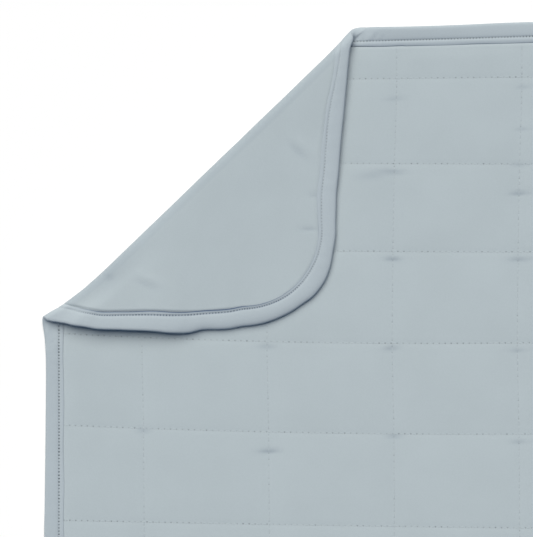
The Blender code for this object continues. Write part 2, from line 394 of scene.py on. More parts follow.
    def place(self, flat: Array, height: Array) -> Array:
        """Lay flat points round the fold and bring them into the blanket's place.

        Before the axis a point keeps its plan and height. In the roll it goes round half a circle
        whose radius is the roll's, less its height above the middle of the cloth. Past it the
        cloth runs back over the front, and comes down in a soft step to rest there.

        Args:
            flat: Points of the flat cut in millimetres.
            height: Their heights above the floor before folding, in millimetres.

        Returns:
            Points in space, in metres.
        """
        past, along = self.past_fold(self.ease(flat))
        turn = np.clip(past / self.roll, 0.0, math.pi)
        radius = self.roll - (height - self.middle)
        centre = self.middle + self.roll
        beyond = np.maximum(past - self.bend, 0.0)
        plan = np.minimum(past, 0.0) + radius * np.sin(turn) - beyond
        before, grows, after = self.bulge_reach
        share = smooth((past + before) / grows) * smooth(1.0 - (past - self.bend) / after)
        outward = plan + share * read_table(self.bulge_rows, along)
        inward = along + share * read_table(self.bulge_rows, along, 2)
        drop = centre + self.roll + self.middle - 2.0 * self.thick - self.gap
        rise = centre - radius * np.cos(turn) - drop * smooth(beyond / self.settles)
        places = np.array(self.point) + outward[:, None] * self.across
        places += inward[:, None] * self.along
        places += self.flap_shift(places, past, along)
        rise = rise * self.pressed(past, along) + self.flap_lift(places, past)
        return np.column_stack((places - np.array(self.box_middle), rise)) * MM


@dataclass(frozen=True)
class Crease:
    """One soft trough or ridge in the cloth, in millimetres of the flat cut.

    Attributes:
        middle: Its middle, across and along.
        angle: Its direction in degrees.
        length: Its reach along itself.
        width: Its reach across itself.
        height: Its height above the cloth, below zero for a trough.
    """

    middle: tuple[float, float]
    angle: float
    length: float
    width: float
    height: float

    def relief(self, flat: Array) -> Array:
        """Return the crease's height at flat points, a bell along it times a bell across it.

        Args:
            flat: Points of the flat cut.

        Returns:
            Heights in millimetres.
        """
        turn = math.radians(self.angle)
        offset = flat - np.array(self.middle)
        along = offset @ np.array((math.cos(turn), math.sin(turn)))
        across = offset @ np.array((-math.sin(turn), math.cos(turn)))
        return self.height * hump(along, self.length) * hump(across, self.width)


def crease_relief(creases: tuple[Crease, ...], flat: Array) -> Array:
    """Return the sum of all the creases' heights at flat points."""
    return sum((crease.relief(flat) for crease in creases), np.zeros(len(flat)))


def soft_waves(
    run: Array,
    seed: int,
    pitch: float,
    count: int = 7,
    spread: tuple[float, float] = (0.6, 2.2),
) -> Array:
    """Return an uneven wave of height about one, a sum of sines of odd pitches.

    Args:
        run: Distance along the wave.
        seed: Picks the pitches and starts.
        pitch: The pitch that sets all the sines' pitches.
        count: Number of sines.
        spread: Least and greatest pitch of a sine against that pitch.

    Returns:
        One value for each run.
    """
    draw = np.random.default_rng(seed)
    pitches = pitch * draw.uniform(*spread, count)
    starts = draw.uniform(0.0, 2.0 * math.pi, count)
    angles = 2.0 * math.pi * run[..., None] / pitches + starts
    return np.sin(angles).sum(axis=-1) / math.sqrt(count)


@dataclass(frozen=True)
class Lumps:
    """An uneven pattern.

    Attributes:
        count: Lumps a metre.
        detail: How many finer layers lie on them.
    """

    count: float
    detail: float


def toned(colour: Colour, share: "float | Colour") -> tuple[float, ...]:
    """Return a colour times a share, or times one share for each part, with full cover."""
    return (*np.multiply(colour, share), 1.0)


class Graph:
    """Adds nodes to one material and joins them."""

    def __init__(self, name: str) -> None:
        """Start a material with a Principled shader and its output.

        Args:
            name: The material's name.
        """
        self.material = bpy.data.materials.new(name)
        self.material.use_nodes = True
        self.tree = self.material.node_tree
        self.shader = self.tree.nodes["Principled BSDF"]

    def node(self, kind: str, **settings: object) -> bpy.types.Node:
        """Add a node.

        Args:
            kind: Blender's name of the node.
            **settings: Its attributes by name.

        Returns:
            The new node.
        """
        made = self.tree.nodes.new(kind)
        for name, value in settings.items():
            setattr(made, name, value)
        return made

    def feed(self, value: "Socket | float | tuple", entry: Socket) -> None:
        """Join a socket to an entry, or set the entry to a number or a colour.

        Args:
            value: The socket, number or colour.
            entry: The entry that takes it.
        """
        if isinstance(value, Socket):
            self.tree.links.new(value, entry)
        else:
            entry.default_value = value

    def feed_all(self, node: bpy.types.Node, values: dict[str, object]) -> None:
        """Feed a node's entries, each by its name."""
        for name, value in values.items():
            self.feed(value, node.inputs[name])

    def carried(self, name: str) -> Socket:
        """Return the value that a piece's points carry under a name."""
        return self.node("ShaderNodeAttribute", attribute_name=name).outputs["Fac"]

    def sum(self, operation: str, *values: "Socket | float") -> Socket:
        """Work one sum out with a Math node.

        Args:
            operation: Blender's name of the sum.
            *values: What goes into it, in order.

        Returns:
            The result.
        """
        made = self.node("ShaderNodeMath", operation=operation)
        for entry, value in zip(made.inputs, values):
            self.feed(value, entry)
        return made.outputs[0]

    def blend(self, share: "Socket | float", first: object, second: object) -> Socket:
        """Mix two colours.

        Args:
            share: Share of the second colour.
            first: The first colour.
            second: The second colour.

        Returns:
            The mixed colour.
        """
        made = self.node("ShaderNodeMix", data_type="RGBA")
        # Entry 0 is the node's share, and entries 6 and 7 and result 2 are its colours.
        for value, entry in ((share, 0), (first, 6), (second, 7)):
            self.feed(value, made.inputs[entry])
        return made.outputs[2]

    def step(self, value: Socket, low: float, high: float) -> Socket:
        """Make a soft step of a value.

        Args:
            value: The value.
            low: Where the step is 0.
            high: Where it is 1.

        Returns:
            The step's height.
        """
        made = self.node("ShaderNodeMapRange", interpolation_type="SMOOTHSTEP")
        for entry, number in zip(made.inputs, (value, low, high, 0.0, 1.0)):
            self.feed(number, entry)
        return made.outputs[0]

    def noise(self, vector: Socket, lumps: Lumps) -> Socket:
        """Make an uneven value from 0 to 1.

        Args:
            vector: The place that it is read at, in metres.
            lumps: Its pattern.

        Returns:
            The value.
        """
        made = self.node("ShaderNodeTexNoise")
        entries = {"Vector": vector, "Scale": lumps.count, "Detail": lumps.detail}
        self.feed_all(made, entries)
        return made.outputs["Fac"]

    def fold_to_seam(self, value: Socket, pitch: float, shift: float) -> Socket:
        """Work out the distance to the nearest of many lines.

        Args:
            value: The place across the lines.
            pitch: Distance between lines.
            shift: Place of one line.

        Returns:
            The distance: the place moved by half a pitch, the remainder after whole pitches, and
            how far that is from half a pitch.
        """
        moved = self.sum("ADD", value, 0.5 * pitch - shift)
        part = self.sum("FLOORED_MODULO", moved, pitch)
        return self.sum("ABSOLUTE", self.sum("SUBTRACT", part, 0.5 * pitch))


@dataclass(frozen=True)
class Holes:
    """Rows of needle holes in metres: painted shade in the colour and a dip in the bump.

    Attributes:
        line_axis: 0 where the row's place is read across, 1 where it is read along.
        line_pitch: Distance between rows.
        line_shift: Place of one row.
        pitch: Distance between holes in a row.
        radius: Radius of a hole.
        strength: How strong a hole's painted shade is at most.
        even: The share of that darkness that every hole has.
    """

    line_axis: int
    line_pitch: float
    line_shift: float
    pitch: float
    radius: float
    strength: float
    even: float


@dataclass(frozen=True)
class KnitFinish:
    """Matt cotton jersey, in metres of the flat cut.

    Attributes:
        name: The material's name.
        colour: Its mean colour.
        wale: Width of one column of stitches.
        course: Height of one row of stitches.
        knit_depth: Depth of the knit.
        course_share: Depth of the rows against that of the columns.
        wander: Lumps in which the columns wander.
        wander_width: How far they wander.
        cloud: The wide lumps of the colour.
        melange: The fine lumps of the colour.
        melange_share: Share of the fine lumps in the mottling.
        mottle_step: Values of the lumps where the colour is darkest and lightest.
        mottle: Shares of the colour there.
        fuzz: The lumps of the nap.
        fuzz_share: Depth of the nap against that of the knit.
        holes: Rows of needle holes.
        hole_edge: Where a hole's darkness starts and is full, in radiuses from its middle.
        hole_lumps: Lumps by which holes differ from each other.
        hole_step: Values of those lumps where a hole is lightest and darkest.
        hole_tone: Share of the colour that a hole's painted shade leaves.
        hole_depth: Depth of a hole.
        bump: Strength of the bump.
        roughness: Roughness of the cloth.
        specular: Strength of its gloss.
        sheen: Strength and roughness of its sheen.
        painted_shade: Whether the piece carries painted shade for its gaps, lines and creases.
        pulled: Whether it carries how open its needle holes are, which scales their painted shade.
    """

    name: str
    colour: Colour
    wale: float = 0.00085
    course: float = 0.00065
    knit_depth: float = 0.00006
    course_share: float = 0.35
    wander: Lumps = Lumps(260.0, 1.0)
    wander_width: float = 0.0006
    cloud: Lumps = Lumps(22.0, 3.0)
    melange: Lumps = Lumps(700.0, 2.0)
    melange_share: float = 0.45
    mottle_step: tuple[float, float] = (0.3, 0.7)
    mottle: tuple[float, float] = (0.975, 1.02)
    fuzz: Lumps = Lumps(1500.0, 3.0)
    fuzz_share: float = 1.2
    holes: tuple[Holes, ...] = ()
    hole_edge: tuple[float, float] = (1.25, 0.35)
    hole_lumps: Lumps = Lumps(90.0, 3.0)
    hole_step: tuple[float, float] = (0.38, 0.68)
    hole_tone: float = 0.34
    hole_depth: float = 0.0005
    bump: float = 0.8
    roughness: float = 0.92
    specular: float = 0.18
    sheen: tuple[float, float] = (0.12, 0.5)
    painted_shade: bool = False
    pulled: bool = False

    def knit_height(self, graph: Graph, flat: Socket) -> Socket:
        """Work out the knit's height.

        Columns are the size of a sine across the cloth, and rows a sine along it, which leans
        with the columns so that they make small arrowheads.

        Args:
            graph: The material.
            flat: The flat place.

        Returns:
            The height against the knit's depth.
        """
        split = graph.node("ShaderNodeSeparateXYZ")
        graph.feed(flat, split.inputs[0])
        wander = graph.noise(flat, self.wander)
        across = graph.sum("MULTIPLY_ADD", wander, self.wander_width, split.outputs[0])
        wale = graph.sum("SINE", graph.sum("MULTIPLY", across, 2.0 * math.pi / self.wale))
        column = graph.sum("ABSOLUTE", wale)
        lean = graph.sum("MULTIPLY", column, 0.5 * self.course)
        along = graph.sum("ADD", split.outputs[1], lean)
        course = graph.sum("SINE", graph.sum("MULTIPLY", along, 2.0 * math.pi / self.course))
        return graph.sum("ADD", column, graph.sum("MULTIPLY", course, self.course_share))

    def hole_share(self, graph: Graph, flat: Socket) -> Socket:
        """Work out the painted shade of the needle holes.

        A hole's edge is a soft step of the distance to the nearest place where a row and a line
        across it meet, and each hole is as dark as the uneven lumps make it there.

        Args:
            graph: The material.
            flat: The flat place.

        Returns:
            The holes' painted shade in the middle of each hole, and 0 between them.
        """
        split = graph.node("ShaderNodeSeparateXYZ")
        graph.feed(flat, split.inputs[0])
        total: "Socket | float" = 0.0
        for row in self.holes:
            place = split.outputs[row.line_axis]
            across = graph.fold_to_seam(place, row.line_pitch, row.line_shift)
            along = graph.fold_to_seam(split.outputs[1 - row.line_axis], row.pitch, 0.0)
            squares = graph.sum("MULTIPLY", across, across)
            distance = graph.sum("SQRT", graph.sum("MULTIPLY_ADD", along, along, squares))
            dot = graph.step(distance, *(share * row.radius for share in self.hole_edge))
            uneven = graph.step(graph.noise(flat, self.hole_lumps), *self.hole_step)
            scale = row.strength * (1.0 - row.even)
            dark = graph.sum("MULTIPLY_ADD", uneven, scale, row.strength * row.even)
            total = graph.sum("MAXIMUM", graph.sum("MULTIPLY", dot, dark), total)
        return total

    def build(self) -> bpy.types.Material:
        """Make the material.

        Returns:
            Jersey with a mottled colour, painted shade in its needle holes, gaps and creases, a
            soft sheen and a knitted bump.
        """
        graph = Graph(self.name)
        flat = graph.node("ShaderNodeUVMap", uv_map="flat").outputs[0]
        wide = graph.sum("MULTIPLY", graph.noise(flat, self.cloud), 1.0 - self.melange_share)
        melange = graph.noise(flat, self.melange)
        shade = graph.sum("MULTIPLY_ADD", melange, self.melange_share, wide)
        dark, light = [toned(self.colour, share) for share in self.mottle]
        colour = graph.blend(graph.step(shade, *self.mottle_step), dark, light)
        height = graph.sum("MULTIPLY", self.knit_height(graph, flat), self.knit_depth)
        fuzz_depth = self.fuzz_share * self.knit_depth
        height = graph.sum("MULTIPLY_ADD", graph.noise(flat, self.fuzz), fuzz_depth, height)
        # Painted shade in the needle holes, with a small dip of the bump.
        if self.holes:
            holes = self.hole_share(graph, flat)
            if self.pulled:
                holes = graph.sum("MULTIPLY", holes, graph.carried("pull"))
            colour = graph.blend(holes, colour, toned(self.colour, self.hole_tone))
            height = graph.sum("MULTIPLY_ADD", holes, -self.hole_depth, height)
        # Painted shade: the colour is mixed towards a darker, bluer copy where the piece carries
        # it, in gaps, lip lines, seams and creases.
        if self.painted_shade:
            shaded_colour = toned(self.colour, PAINTED_SHADE_TONE)
            colour = graph.blend(graph.carried("painted_shade"), colour, shaded_colour)
        bump = graph.node("ShaderNodeBump")
        graph.feed_all(bump, {"Strength": self.bump, "Distance": 1.0, "Height": height})
        values = {
            "Base Color": colour,
            "Normal": bump.outputs[0],
            "Roughness": self.roughness,
            "Specular IOR Level": self.specular,
            "Sheen Weight": self.sheen[0],
            "Sheen Roughness": self.sheen[1],
        }
        graph.feed_all(graph.shader, values)
        return graph.material


@dataclass(frozen=True)
class ThreadFinish:
    """Sewing thread with a fine twist.

    Attributes:
        name: The material's name.
        colour: The thread's colour.
        twist: Bands of the twist a metre.
        unevenness: How uneven the bands are.
        ply_tone: Share of the colour between the plies.
        roughness: Roughness of the thread.
        sheen: Strength of its sheen.
    """

    name: str = "sewing_thread"
    colour: Colour = (0.47, 0.53, 0.56)
    twist: float = 700.0
    unevenness: float = 0.6
    ply_tone: float = 0.82
    roughness: float = 0.6
    sheen: float = 0.1

    def build(self) -> bpy.types.Material:
        """Make the material.

        Returns:
            A smooth thread whose two plies show as slanted bands.
        """
        graph = Graph(self.name)
        place = graph.node("ShaderNodeTexCoord").outputs["Object"]
        ply = graph.node("ShaderNodeTexWave", wave_type="BANDS", bands_direction="DIAGONAL")
        entries = {"Vector": place, "Scale": self.twist, "Distortion": self.unevenness}
        graph.feed_all(ply, entries)
        dark = toned(self.colour, self.ply_tone)
        colour = graph.blend(ply.outputs["Fac"], dark, toned(self.colour, 1.0))
        values = {
            "Base Color": colour,
            "Roughness": self.roughness,
            "Sheen Weight": self.sheen,
        }
        graph.feed_all(graph.shader, values)
        return graph.material


def grid_faces(rows: int, columns: int, closed: tuple[bool, bool] = (False, False)) -> Array:
    """Return the four-sided faces of a grid of points stored row by row.

    Args:
        rows: Number of rows.
        columns: Number of columns.
        closed: Whether the last row, and the last column, joins the first.

    Returns:
        Four point numbers for each face, counter-clockwise where columns run right and rows up.
    """
    row = np.arange(rows if closed[0] else rows - 1)[:, None]
    column = np.arange(columns if closed[1] else columns - 1)[None, :]
    above, right = (row + 1) % rows, (column + 1) % columns
    corners = (
        row * columns + column,
        row * columns + right,
        above * columns + right,
        above * columns + column,
    )
    return np.stack([corner.ravel() for corner in np.broadcast_arrays(*corners)], axis=1)


def add_mesh(
    name: str,
    points: Array,
    faces: list[list[int]],
    material: bpy.types.Material,
    uv: "Array | None" = None,
) -> bpy.types.Object:
    """Make a smooth object at the origin from whole arrays.

    Args:
        name: The piece's name.
        points: Its points in metres.
        faces: Point numbers of its faces.
        material: Its material.
        uv: The flat place of each point in metres, kept as the map "flat".

    Returns:
        The new object.
    """
    mesh = bpy.data.meshes.new(name)
    mesh.from_pydata(points.tolist(), [], faces)
    if uv is not None:
        corner = np.empty(len(mesh.loops), dtype=np.int32)
        mesh.loops.foreach_get("vertex_index", corner)
        layer = mesh.uv_layers.new(name="flat")
        layer.data.foreach_set("uv", uv[corner].astype(np.float32).ravel())
    mesh.polygons.foreach_set("use_smooth", np.ones(len(mesh.polygons), dtype=bool))
    mesh.materials.append(material)
    mesh.update()
    piece = bpy.data.objects.new(name, mesh)
    bpy.context.scene.collection.objects.link(piece)
    return piece


def add_values(piece: bpy.types.Object, name: str, values: Array) -> None:
    """Give each point of a piece a value that its cloth reads.

    Args:
        piece: The piece.
        name: The value's name.
        values: One value for each point.
    """
    layer = piece.data.attributes.new(name, "FLOAT", "POINT")
    layer.data.foreach_set("value", values.astype(np.float32))


@dataclass(frozen=True)
class Weave:
    """How finely a panel is drawn: close lines by the turned corner, wide ones elsewhere.

    Attributes:
        near: Lowest and highest place of the finely drawn part.
        fine: Line spacing in that part.
        coarse: Line spacing in the rest.
        beside: Distances from a seam at which lines run on both its sides.
        spare: Share of a spacing that is left over before one more line is drawn.
    """

    near: tuple[float, float]
    fine: float = 3.3
    coarse: float = 8.0
    beside: tuple[float, ...] = (1.2, 3.0, 6.0)
    spare: float = 0.2

    def lines(self, half: float, seams: Array) -> Array:
        """Return line places from minus half to half.

        Args:
            half: Half the panel's size.
            seams: Places of seams, each with its own close lines.

        Returns:
            Rising places.
        """
        close = [seams] + [seams + side * step for step in self.beside for side in (-1.0, 1.0)]
        marks = np.concatenate(close + [np.array((-half, half))])
        marks = np.unique(np.round(marks[np.abs(marks) <= half], 4))
        parts = []
        for low, high in zip(marks[:-1], marks[1:]):
            middle = 0.5 * (low + high)
            spacing = self.fine if self.near[0] < middle < self.near[1] else self.coarse
            count = max(1, math.ceil((high - low) / spacing - self.spare))
            parts.append(np.linspace(low, high, count, endpoint=False))
        return np.concatenate(parts + [np.array((half,))])


@dataclass(frozen=True)
class Panel:
    """A panel of cloth drawn on lines across and along, squeezed into the round corners.

    Attributes:
        cut: The blanket's cut.
        edge: How far inside the cut edge the panel ends.
        squeeze: Share of a corner's depth past which its rows are drawn in no further.
    """

    cut: Cut = Cut()
    edge: float = 5.0
    squeeze: float = 0.999

    @property
    def half(self) -> tuple[float, float]:
        """Return half the panel's width and half its length."""
        return 0.5 * self.cut.width - self.edge, 0.5 * self.cut.length - self.edge

    def spread(self, across: Array, along: Array) -> Array:
        """Return the flat points of a grid.

        A row keeps its place along. Past the straight part of the side, its points are drawn
        together across, by the half width that the round corner leaves at that row.

        Args:
            across: Column places of the straight rows.
            along: Row places.

        Returns:
            Points row by row.
        """
        u, v = np.meshgrid(across, along)
        straight_u, straight_v = self.cut.straight
        radius = self.cut.corner - self.edge
        over = np.clip(np.abs(v) - straight_v, 0.0, self.squeeze * radius)
        share = np.sqrt(1.0 - np.square(over / radius))
        beyond = np.maximum(np.abs(u) - straight_u, 0.0)
        u = np.sign(u) * (np.minimum(np.abs(u), straight_u) + beyond * share)
        return np.column_stack((u.ravel(), v.ravel()))


@dataclass(frozen=True)
class Quilting:
    """The seams that quilt the blanket in boxes, with their needle holes.

    Attributes:
        column_pitch: Distance between the seams that run along.
        row_pitch: Distance between the seams that run across.
        columns: Number of seams along.
        rows: Number of seams across.
        pitch: Distance between needle holes.
        column_holes: Radius in metres, strength and evenness of the holes of the seams along.
        row_holes: The same of the seams across.
    """

    column_pitch: float = 100.0
    row_pitch: float = 72.0
    columns: int = 7
    rows: int = 14
    pitch: float = 4.8
    column_holes: tuple[float, float, float] = (0.00065, 0.38, 0.15)
    row_holes: tuple[float, float, float] = (0.0007, 0.6, 0.3)

    def seams(self, family: Seam) -> Array:
        """Return the places of one family of seams.

        Args:
            family: Which seams.

        Returns:
            Their places across them, spaced evenly on both sides of the middle.
        """
        if family is Seam.ALONG:
            return self.column_pitch * (np.arange(self.columns) - 0.5 * (self.columns - 1))
        return self.row_pitch * (np.arange(self.rows) - 0.5 * (self.rows - 1))

    def holes(self) -> tuple[Holes, ...]:
        """Return the needle holes of both families of seams.

        One seam runs along the blanket's middle, and the middle across lies between two seams.

        Returns:
            The holes of the seams along, and of those across.
        """
        pitch = self.pitch * MM
        along = Holes(0, self.column_pitch * MM, 0.0, pitch, *self.column_holes)
        middle_row = 0.5 * self.row_pitch * MM
        return along, Holes(1, self.row_pitch * MM, middle_row, pitch, *self.row_holes)


@dataclass
class QuiltedFront:
    """The front panel, with its thin filling, quilted in boxes.

    Attributes:
        lay: How the blanket lies.
        finish: The cloth.
        quilting: Its seams.
        top: Height of a box's middle.
        rim: Height where the binding's inner edge lies.
        rim_fade: Inset at the binding's inner edge, and distance over which the boxes rise.
        gripped: Height under the binding.
        grip_fade: Inset at which the binding starts to grip, and distance to its full grip.
        groove: Depth and reach of the narrow trough at a seam.
        pillow: Depth and reach of the wide trough at a seam.
        creases: Puckers and creases, listed one by one.
        pucker_depth: Share of the creases' height that the cloth takes.
        pucker_shade: Strength of the painted shade in a crease's trough for each millimetre of its
            depth.
        panel: Its outline.
        across: How finely it is drawn across.
        along: How finely it is drawn along.
    """

    lay: Lay
    finish: KnitFinish
    quilting: Quilting = Quilting()
    top: float = 4.9
    rim: float = 4.35
    rim_fade: tuple[float, float] = (15.0, 12.0)
    gripped: float = 2.9
    grip_fade: tuple[float, float] = (15.6, 2.4)
    groove: tuple[float, float] = (0.20, 2.2)
    pillow: tuple[float, float] = (0.42, 13.0)
    creases: tuple[Crease, ...] = ()
    pucker_depth: float = 0.4
    pucker_shade: float = 0.38
    panel: Panel = Panel()
    across: Weave = Weave((-400.0, 12.0))
    along: Weave = Weave((70.0, 520.0), fine=2.3)

    def seam_drop(self, distance: Array) -> Array:
        """Return how far the cloth sinks at a distance from a seam, a narrow and a wide bell."""
        narrow = self.groove[0] * hump(distance, self.groove[1])
        return narrow + self.pillow[0] * hump(distance, self.pillow[1])

    def height(self, flat: Array) -> Array:
        """Return the front's height above the floor at flat points.

        Both families' drops are joined as the root of their squares, so a crossing is a little
        deeper than a seam. Towards the edge the cloth comes down to the binding and under it.

        Args:
            flat: Points of the flat cut.

        Returns:
            Heights in millimetres.
        """
        drops = []
        for family in Seam:
            seams = self.quilting.seams(family)
            distance = np.abs(flat[:, family.value, None] - seams).min(axis=1)
            drops.append(self.seam_drop(distance))
        puckers = self.pucker_depth * crease_relief(self.creases, flat)
        height = self.top - np.hypot(*drops) + puckers
        inset = self.lay.cut.inset(flat)
        share = smooth((inset - self.rim_fade[0]) / self.rim_fade[1])
        height = share * height + (1.0 - share) * self.rim
        under = smooth((self.grip_fade[0] - inset) / self.grip_fade[1])
        return height + under * (self.gripped - self.rim)

    def build(self) -> bpy.types.Object:
        """Make the panel.

        Returns:
            The panel as one sheet that faces up where it lies and down on the flap.
        """
        half_u, half_v = self.panel.half
        across = self.across.lines(half_u, self.quilting.seams(Seam.ALONG))
        along = self.along.lines(half_v, self.quilting.seams(Seam.ACROSS))
        flat = self.panel.spread(across, along)
        points = self.lay.place(flat, self.height(flat))
        faces = grid_faces(len(along), len(across)).tolist()
        piece = add_mesh("front_cloth", points, faces, self.finish.build(), flat * MM)
        # Painted shade in the troughs of the puckers and creases.
        add_values(piece, "painted_shade", -self.pucker_shade * crease_relief(self.creases, flat))
        return piece


@dataclass
class PlainBacking:
    """The thin backing, plain, which shows on the flap.

    Attributes:
        lay: How the blanket lies.
        finish: The cloth.
        gripped: Height inside the binding.
        lip: Width of the binding that lies on it.
        rise: Inset at which it starts to come out of the binding, and distance over which.
        left_rise: How much further in and how much sooner that is on the turned side.
        left_end: Place along where the turned side's straight part ends, and its fade.
        left_from: Place across that the turned side lies beyond.
        painted_fold_shade: Distance past the fold's axis, and how much painted shade darkens the
            bent cloth against the light it catches.
        painted_shade_spots: Soft spots of painted shade, with its strength as their height.
        creases: Creases of the flap, listed one by one, with heights above the flap.
        crease_shade: Strength of the painted shade in a crease's trough for each millimetre of its
            depth.
        panel: Its outline.
        across: How finely it is drawn across.
        along: How finely it is drawn along.
        marks_across: Places across where a line is drawn.
        marks_along: Places along where a line is drawn.
        lip_lines: Lowest and highest distance from the lip of lines beside it, and their number.
    """

    lay: Lay
    finish: KnitFinish
    gripped: float = 1.3
    lip: float = 15.8
    rise: tuple[float, float] = (13.2, 3.2)
    left_rise: tuple[float, float] = (1.7, 0.8)
    left_end: tuple[float, float] = (445.0, 25.0)
    left_from: float = -300.0
    painted_fold_shade: Table = (
        (0.0, 0.0), (6.3, 0.08), (9.5, 0.15), (10.9, 0.15), (12.2, 0.11), (13.4, 0.05),
        (14.6, 0.0),
    )
    painted_shade_spots: tuple[Crease, ...] = (Crease((-338.0, 316.0), 44.0, 26.0, 11.0, 0.065),)
    creases: tuple[Crease, ...] = ()
    crease_shade: float = 0.3
    panel: Panel = Panel()
    across: Weave = Weave((-400.0, -60.0), fine=2.4, coarse=9.0, beside=())
    along: Weave = Weave((180.0, 520.0), fine=2.4, coarse=9.0, beside=())
    marks_across: tuple[float, ...] = (-350.0, -60.0, 60.0, 350.0)
    marks_along: tuple[float, ...] = (-480.0, 180.0, 480.0)
    lip_lines: tuple[float, float, int] = (-3.2, 4.0, 10)

    def height(self, flat: Array) -> Array:
        """Return the backing's height before folding: on the floor, and up into the binding.

        It rises in a soft step of the inset, closer to the lip along the straight part of the
        turned side, and the flap's creases lie on it.

        Args:
            flat: Points of the flat cut.

        Returns:
            Heights in millimetres.
        """
        inset = self.lay.cut.inset(flat)
        start, reach = self.rise
        later, shorter = self.left_rise
        end, fade = self.left_end
        straight = smooth((end - np.abs(flat[:, 1])) / fade) * (flat[:, 0] < self.left_from)
        share = smooth((inset - start - later * straight) / (reach - shorter * straight))
        relief = crease_relief(self.creases, flat) * self.lay.flap_share(flat)
        return self.gripped * (1.0 - share) - relief * share

    def tone(self, flat: Array) -> Array:
        """Return how much darker the cloth looks at flat points.

        The painted shade over the bent cloth, its painted soft spots and the shade in the creases'
        troughs are added up.

        Args:
            flat: Points of the flat cut.

        Returns:
            One value for each point.
        """
        past, _ = self.lay.past_fold(self.lay.drift(flat))
        troughs = np.maximum(-crease_relief(self.creases, flat), 0.0)
        tone = read_table(self.painted_fold_shade, past) + crease_relief(self.painted_shade_spots, flat)
        return tone + self.crease_shade * troughs

    def build(self) -> bpy.types.Object:
        """Make the panel.

        Returns:
            The panel as one sheet that faces the floor where it lies and up on the flap.
        """
        half_u, half_v = self.panel.half
        lip = self.lip - 0.5 * self.lay.cut.width + np.linspace(*self.lip_lines)
        across = self.across.lines(half_u, np.concatenate((lip, np.array(self.marks_across))))
        along = self.along.lines(half_v, np.array(self.marks_along))
        flat = self.panel.spread(across, along)
        points = self.lay.place(flat, self.height(flat))
        faces = grid_faces(len(along), len(across))[:, (0, 3, 2, 1)].tolist()
        piece = add_mesh("backing_cloth", points, faces, self.finish.build(), flat * MM)
        # Painted shade over the bent cloth, in soft spots and in the creases' troughs.
        add_values(piece, "painted_shade", self.tone(flat))
        return piece


